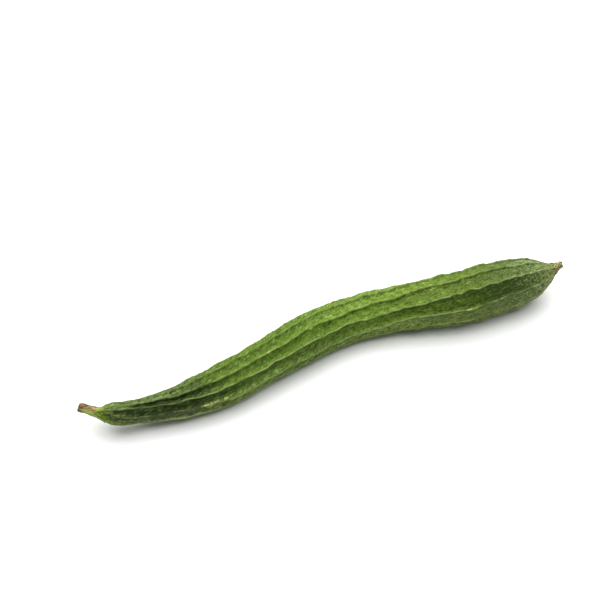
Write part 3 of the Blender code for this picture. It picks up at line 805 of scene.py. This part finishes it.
def calyx_grids():
    """The grids of the cup, its lobes, the style and the threads, each with its facts.

    The cup is a ribbed and dented tube. Its foot follows the fruit's own surface back from its end,
    by a ragged length that a cosine makes longest on one side. The blades stand round its mouth.
    """
    rng = np.random.default_rng(CALYX_SEED)
    end = centreline(np.array([1.0]))[0]
    ahead, up, beside = (axis[0] for axis in fruit_axes(np.array([1.0])))
    root = end + ahead * GAP
    t = np.linspace(0, 1, CUP_RINGS)
    skirt = np.linspace(-SKIRT_LENGTH, 0, SKIRT_RINGS, endpoint=False)
    inward = np.linspace(1, 0, CUP_MOUTH_RINGS)[1:-1]
    reach = np.concatenate([np.zeros(SKIRT_RINGS), t, np.ones(len(inward))])
    shrink = np.concatenate([np.ones(SKIRT_RINGS + CUP_RINGS), inward])[:, None]
    angles = np.tile(np.arange(CUP_COLUMNS) / CUP_COLUMNS * 2 * math.pi, (len(reach), 1))
    along = np.tile(reach[:, None] * CUP_LENGTH, (1, CUP_COLUMNS))
    ragged = np.clip(0.75 + 0.25 * ripples(rng, 0, angles[0], MM, (3, 14)), 0.3, 1)
    ragged = ragged * (0.2 + 0.8 * np.cos((angles[0] - SKIRT_LONGEST) / 2) ** 4)
    along[:SKIRT_RINGS] = np.multiply.outer(skirt, ragged)
    ribs = 1 + CUP_RIB_DEPTH * np.cos(CUP_RIBS * angles)
    radii = through(CUP_GIRTH, reach)[:, None] * MM * ribs
    dents = ripples(rng, along, angles, DENT_LENGTH, (2, 12)) * CUP_DENT
    radii += dents
    headings = np.tile(ahead, (len(reach), 1))
    cup = tube_grid(np.tile(root, (len(reach), 1)), headings, radii * shrink, angles)
    cup += ahead * along[..., None]
    lapped = 1 + along[:SKIRT_RINGS] / FRUIT_LENGTH
    lap_radii = through(GIRTH, lapped) * BELLY_RADIUS + SKIRT_LIFT + np.abs(dents[:SKIRT_RINGS])
    _, lap_up, lap_beside = fruit_axes(lapped)
    turned = angles[:SKIRT_RINGS, :, None]
    lap_out = lap_up * np.cos(turned) + lap_beside * np.sin(turned)
    cup[:SKIRT_RINGS] = centreline(lapped) + lap_out * lap_radii[..., None]
    grids = [(cup, reach * 0.45)]
    for number, (length, lean, curl) in enumerate(LOBES):
        turn = 2 * math.pi * number / len(LOBES)
        blade = blade_grid(rng, length * MM, lean, curl, LOBE_WIDTH, BLADE_THICKNESS, CRUMPLE)
        grids.append((turn, LOBE_ROOT, blade))
    style = blade_grid(rng, STYLE_LENGTH, 5, -10, 2 * STYLE_RADIUS, 2 * STYLE_RADIUS, CRUMPLE)
    grids.append((0, 0, style))
    for _ in range(THREADS):
        lean, curl = rng.uniform(-12, 30), rng.uniform(-60, 60)
        length = THREAD_LENGTH * rng.uniform(0.7, 1.25)
        thick = 2 * THREAD_RADIUS
        thread = blade_grid(rng, length, lean, curl, thick, thick, THREAD_RADIUS)
        grids.append((rng.uniform(0, 2 * math.pi), rng.uniform(0.4, 1) * LOBE_ROOT, thread))
    placed = [grids[0]]
    for turn, out_by, blade in grids[1:]:
        out = up * math.cos(turn) + beside * math.sin(turn)
        sunk = root + ahead * (CUP_LENGTH - LOBE_SINK) + out * out_by
        frame_rows = np.array([out, np.cross(ahead, out), ahead])
        placed.append((sunk + blade @ frame_rows, 0.3 + 0.7 * np.linspace(0, 1, BLADE_RINGS)))
    facts = []
    for grid, out_along in placed:
        off = grid - root
        low = off @ beside - off @ up
        facts.append({
            "straight": np.stack([off @ ahead, off @ up, off @ beside], -1),
            "reach": np.broadcast_to(out_along[:, None], grid.shape[:2]),
            "low": low / LOW_SIDE + 0.75 - out_along[:, None],
        })
    return [grid for grid, _ in placed], facts


calyx = ringed_mesh("withered_calyx", *calyx_grids())

# Dead petal and sepal tissue, dried to paper: straw with an olive cast, browner towards its lower,
# near side, with dark ends and veins.
papery = bpy.data.materials.new("dry_papery_calyx")
papery.use_nodes = True
tree = papery.node_tree
shader = tree.nodes["Principled BSDF"]
read = {
    name: add(tree, "Attribute", gives="Fac", attribute_name=name)
    for name in ("reach", "low")
}
straight = add(tree, "Attribute", gives="Vector", attribute_name="straight")
CALYX_CLOUDS = {  # width and length in millimetres, and detail
    "veins": (1.1, 2.4, 2), "patches": (1.5, 1.8, 3),
}
CALYX_RELIEF = 0.25 * MM
cloud = {}
for name, (width, length, detail) in CALYX_CLOUDS.items():
    scale = (1 / (length * MM), 1 / (width * MM), 1 / (width * MM))
    place = add(tree, "Mapping", {"Vector": straight, "Scale": scale})
    cloud[name] = add(tree, "TexNoise", {"Vector": place, "Scale": 1, "Detail": detail})
straw = tinted(tree, "#5f5c30", "#b0aa76", cloud["veins"], 0.38, 0.62)
# Browner towards the calyx's lower, near side
browner_low = tinted(tree, "#504828", "#9c8c64", cloud["veins"], 0.38, 0.62)
body = tinted(tree, straw, browner_low, frayed(tree, read["low"], cloud["patches"], 0.35), 0.3, 0.7)
end = frayed(tree, read["reach"], cloud["patches"], 0.4)
body = tinted(tree, body, "#5f5a2e", end, 0.6, 1, 0.75)
tree.links.new(body, shader.inputs["Base Color"])
shader.inputs["Roughness"].default_value = 0.8
shader.inputs["Specular IOR Level"].default_value = 0.1
bump = add(tree, "Bump", {"Height": cloud["veins"], "Distance": CALYX_RELIEF, "Strength": 1})
tree.links.new(bump, shader.inputs["Normal"])
calyx.data.materials.append(papery)
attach(calyx, "root")
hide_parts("calyx")

# The table and the studio
# A plain white surface under one very broad soft light, up behind the gourd and a little to its
# right, in a white room that fills the shadows.

FLOOR_SIZE = 4  # metres, as are the light's size and place
KEY_POWER = 64  # watts
KEY_SIZE = 2.9
KEY_PLACE = (0.2, 0.37, 1.4)
ROOM_GLOW = 0.2

bpy.ops.mesh.primitive_plane_add(size=FLOOR_SIZE, location=(0, 0, 0))
floor = bpy.context.object
floor.name = "floor"
white = bpy.data.materials.new("matt_white_paint")
white.use_nodes = True
paint = white.node_tree.nodes["Principled BSDF"]
paint.inputs["Base Color"].default_value = colour("#f2f2f2")
paint.inputs["Roughness"].default_value = 0.9
paint.inputs["Specular IOR Level"].default_value = 0.1
floor.data.materials.append(white)

world = bpy.data.worlds.new("white_room")
bpy.context.scene.world = world
world.use_nodes = True
world.node_tree.nodes["Background"].inputs["Color"].default_value = (1, 1, 1, 1)
world.node_tree.nodes["Background"].inputs["Strength"].default_value = ROOM_GLOW

key = bpy.data.objects.new("key_light", bpy.data.lights.new("key_light", "AREA"))
key.data.shape = "DISK"
key.data.size = KEY_SIZE
key.data.energy = KEY_POWER
key.location = KEY_PLACE
key.rotation_euler = Vector(KEY_PLACE).to_track_quat("Z", "Y").to_euler()
bpy.context.scene.collection.objects.link(key)

# The camera
# It looks down at the gourd from its near side, a little from the stem's end.

CAMERA_AZIMUTH = math.radians(-21)
CAMERA_ELEVATION = math.radians(50)
CAMERA_DISTANCE = 1.2  # metres
CAMERA_TARGET = Vector((-0.0027, 0.0598, 0))
LENS = 85  # millimetres, on a sensor of the width below
SENSOR = 36

back = Vector((
    math.sin(CAMERA_AZIMUTH) * math.cos(CAMERA_ELEVATION),
    -math.cos(CAMERA_AZIMUTH) * math.cos(CAMERA_ELEVATION),
    math.sin(CAMERA_ELEVATION),
))
camera = bpy.data.objects.new("camera", bpy.data.cameras.new("camera"))
camera.data.lens = LENS
camera.data.sensor_width = SENSOR
camera.location = CAMERA_TARGET + back * CAMERA_DISTANCE
camera.rotation_euler = back.to_track_quat("Z", "Y").to_euler()
bpy.context.scene.collection.objects.link(camera)
bpy.context.scene.camera = camera
bpy.context.scene.view_settings.view_transform = "Standard"
